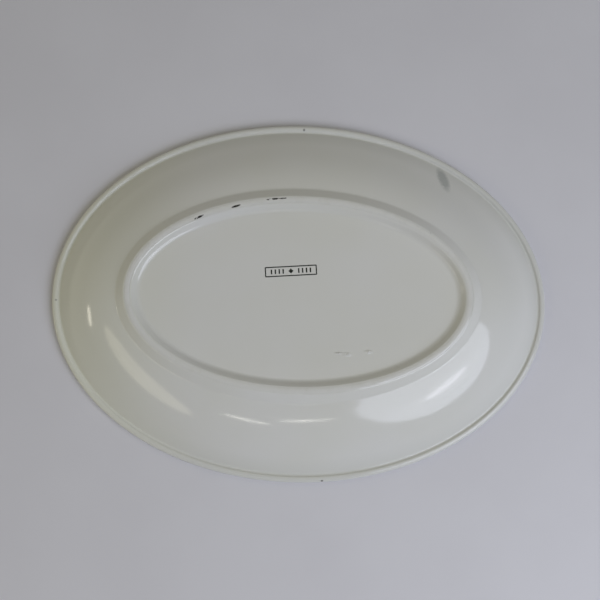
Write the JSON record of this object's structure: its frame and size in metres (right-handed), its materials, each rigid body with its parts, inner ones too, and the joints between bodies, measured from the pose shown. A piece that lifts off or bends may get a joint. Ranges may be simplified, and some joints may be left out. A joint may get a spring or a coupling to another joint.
{
  "type": "serving bowl",
  "caption": "Shallow oval glazed china serving bowl with a rolled rim and a low foot ring, stored rim down as it is stacked; turned over it holds food.",
  "frame": {"origin": "middle of the oval, on the plane that the rim lies on", "axes": "+X along the long axis of the oval, +Y across it towards the side that the stamp is nearer, +Z out of the foot ring. The bowl lies rim down, so +Z is down in use: a half turn about X stands it on its foot ring."},
  "size_m": [0.305, 0.222, 0.032],
  "materials": {
    "fired_clay": "bare vitrified white clay, fine and dry, seen only on the foot land and the lip",
    "clear_glaze": "glossy off-white glaze, slightly wavy",
    "stamp_colour": "dark green-black fired stamp colour"
  },
  "bodies": {
    "root": {"fired_body": "fired_clay", "inner_glaze": "clear_glaze", "outer_glaze": "clear_glaze", "base_glaze": "clear_glaze", "stamp_frame": "stamp_colour", "stamp_marks": "stamp_colour"}
  },
  "joints": []
}
